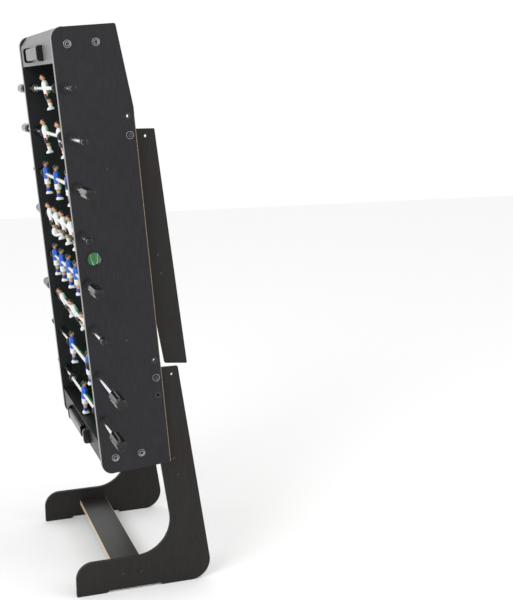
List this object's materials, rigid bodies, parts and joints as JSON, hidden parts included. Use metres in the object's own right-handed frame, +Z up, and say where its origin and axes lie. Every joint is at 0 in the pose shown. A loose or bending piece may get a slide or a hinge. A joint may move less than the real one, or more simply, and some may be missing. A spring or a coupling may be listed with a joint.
{
  "type": "folding foosball table",
  "caption": "Folding foosball table stored upright: tipping cabinet on a C-shaped stand, fold-in legs, sliding and spinning player rods, bead score counters.",
  "frame": {"origin": "middle of the stored table's footprint box, on the floor", "axes": "+Z up, rods along Y with the near side at -Y, play surface facing -X while stored"},
  "size_m": [0.4156, 1.177, 1.579],
  "materials": {
    "black_laminate": "satin",
    "dark_laminate": "satin",
    "grey_laminate": "satin",
    "light_edge": "satin",
    "raw_board": "matt",
    "green_field": "satin",
    "black_plastic": "glossy",
    "white_plastic": "glossy",
    "blue_plastic": "glossy",
    "steel": "polished",
    "zinc": "satin",
    "black_rubber": "matt"
  },
  "bodies": {
    "stand": {"stand_panel_near": "dark_laminate", "stand_panel_far": "dark_laminate", "upper_stretcher": "dark_laminate", "foot_stretcher": "dark_laminate", "stand_fasteners": "zinc", "stop_pads": "black_rubber"},
    "cabinet": {"side_panel_near": "black_laminate", "side_panel_far": "black_laminate", "edge_bands": "light_edge", "end_panels": "dark_laminate", "end_shelves": "grey_laminate", "goal_walls": "black_laminate", "corner_posts": "raw_board", "playfield_board": "raw_board", "playfield_sheet": "green_field", "ball_trays": "black_plastic", "bearings": "black_plastic", "throw_in_bezels": "black_plastic", "scorer_frames": "black_plastic", "cabinet_fasteners": "zinc"},
    "leg_frame": {"leg_near": "dark_laminate", "leg_far": "dark_laminate", "leg_stretcher": "dark_laminate", "leg_fasteners": "zinc"},
    "beads_white_leg_end": {"beads_white_leg_end": "white_plastic"},
    "beads_black_leg_end": {"beads_black_leg_end": "black_plastic"},
    "beads_white_stand_end": {"beads_white_stand_end": "white_plastic"},
    "beads_black_stand_end": {"beads_black_stand_end": "black_plastic"},
    "slider_1": {"bumpers_1": "black_rubber"},
    "rod_1": {"rod_1": "steel", "men_1": "white_plastic", "grip_1": "black_plastic"},
    "slider_2": {"bumpers_2": "black_rubber"},
    "rod_2": {"rod_2": "steel", "men_2": "white_plastic", "grip_2": "black_plastic"},
    "slider_3": {"bumpers_3": "black_rubber"},
    "rod_3": {"rod_3": "steel", "men_3": "blue_plastic", "grip_3": "black_plastic"},
    "slider_4": {"bumpers_4": "black_rubber"},
    "rod_4": {"rod_4": "steel", "men_4": "white_plastic", "grip_4": "black_plastic"},
    "slider_5": {"bumpers_5": "black_rubber"},
    "rod_5": {"rod_5": "steel", "men_5": "blue_plastic", "grip_5": "black_plastic"},
    "slider_6": {"bumpers_6": "black_rubber"},
    "rod_6": {"rod_6": "steel", "men_6": "white_plastic", "grip_6": "black_plastic"},
    "slider_7": {"bumpers_7": "black_rubber"},
    "rod_7": {"rod_7": "steel", "men_7": "blue_plastic", "grip_7": "black_plastic"},
    "slider_8": {"bumpers_8": "black_rubber"},
    "rod_8": {"rod_8": "steel", "men_8": "blue_plastic", "grip_8": "black_plastic"}
  },
  "joints": [
    {"name": "cabinet_tilt", "type": "hinge", "parent": "stand", "child": "cabinet", "pos_m": [0.05621, 0.016, 0.625], "axis": [0, 1, 0], "range_deg": [0, 94.5]},
    {"name": "leg_fold", "type": "hinge", "parent": "cabinet", "child": "leg_frame", "pos_m": [0.00272, 0.016, 1.29186], "axis": [0, -1, 0], "range_deg": [0, 99.4]},
    {"name": "score_white_leg_end", "type": "slide", "parent": "cabinet", "child": "beads_white_leg_end", "axis": [0, 1, 0], "range_m": [0, 0.044]},
    {"name": "score_black_leg_end", "type": "slide", "parent": "cabinet", "child": "beads_black_leg_end", "axis": [0, 1, 0], "range_m": [-0.006, 0]},
    {"name": "score_white_stand_end", "type": "slide", "parent": "cabinet", "child": "beads_white_stand_end", "axis": [0, 1, 0], "range_m": [0, 0.006]},
    {"name": "score_black_stand_end", "type": "slide", "parent": "cabinet", "child": "beads_black_stand_end", "axis": [0, 1, 0], "range_m": [-0.044, 0]},
    {"name": "rod_1_slide", "type": "slide", "parent": "cabinet", "child": "slider_1", "axis": [0, 1, 0], "range_m": [-0.1045, 0.0845]},
    {"name": "rod_1_spin", "type": "hinge", "parent": "slider_1", "child": "rod_1", "pos_m": [-0.16343, 0.026, 1.4147], "axis": [0, 1, 0], "continuous": true},
    {"name": "rod_2_slide", "type": "slide", "parent": "cabinet", "child": "slider_2", "axis": [0, 1, 0], "range_m": [-0.1075, 0.1395]},
    {"name": "rod_2_spin", "type": "hinge", "parent": "slider_2", "child": "rod_2", "pos_m": [-0.15331, 0, 1.2861], "axis": [0, 1, 0], "continuous": true},
    {"name": "rod_3_slide", "type": "slide", "parent": "cabinet", "child": "slider_3", "axis": [0, 1, 0], "range_m": [-0.0715, 0.0515]},
    {"name": "rod_3_spin", "type": "hinge", "parent": "slider_3", "child": "rod_3", "pos_m": [-0.14319, 0.026, 1.1575], "axis": [0, 1, 0], "continuous": true},
    {"name": "rod_4_slide", "type": "slide", "parent": "cabinet", "child": "slider_4", "axis": [0, 1, 0], "range_m": [-0.0015, 0.0455]},
    {"name": "rod_4_spin", "type": "hinge", "parent": "slider_4", "child": "rod_4", "pos_m": [-0.13306, -0.006, 1.02889], "axis": [0, 1, 0], "continuous": true},
    {"name": "rod_5_slide", "type": "slide", "parent": "cabinet", "child": "slider_5", "axis": [0, 1, 0], "range_m": [-0.0055, 0.0415]},
    {"name": "rod_5_spin", "type": "hinge", "parent": "slider_5", "child": "rod_5", "pos_m": [-0.12294, -0.002, 0.90029], "axis": [0, 1, 0], "continuous": true},
    {"name": "rod_6_slide", "type": "slide", "parent": "cabinet", "child": "slider_6", "axis": [0, 1, 0], "range_m": [-0.0295, 0.0935]},
    {"name": "rod_6_spin", "type": "hinge", "parent": "slider_6", "child": "rod_6", "pos_m": [-0.11282, -0.016, 0.77169], "axis": [0, 1, 0], "continuous": true},
    {"name": "rod_7_slide", "type": "slide", "parent": "cabinet", "child": "slider_7", "axis": [0, 1, 0], "range_m": [-0.0925, 0.1545]},
    {"name": "rod_7_spin", "type": "hinge", "parent": "slider_7", "child": "rod_7", "pos_m": [-0.1027, -0.015, 0.64309], "axis": [0, 1, 0], "continuous": true},
    {"name": "rod_8_slide", "type": "slide", "parent": "cabinet", "child": "slider_8", "axis": [0, 1, 0], "range_m": [-0.0765, 0.1125]},
    {"name": "rod_8_spin", "type": "hinge", "parent": "slider_8", "child": "rod_8", "pos_m": [-0.09258, -0.002, 0.51449], "axis": [0, 1, 0], "continuous": true}
  ]
}
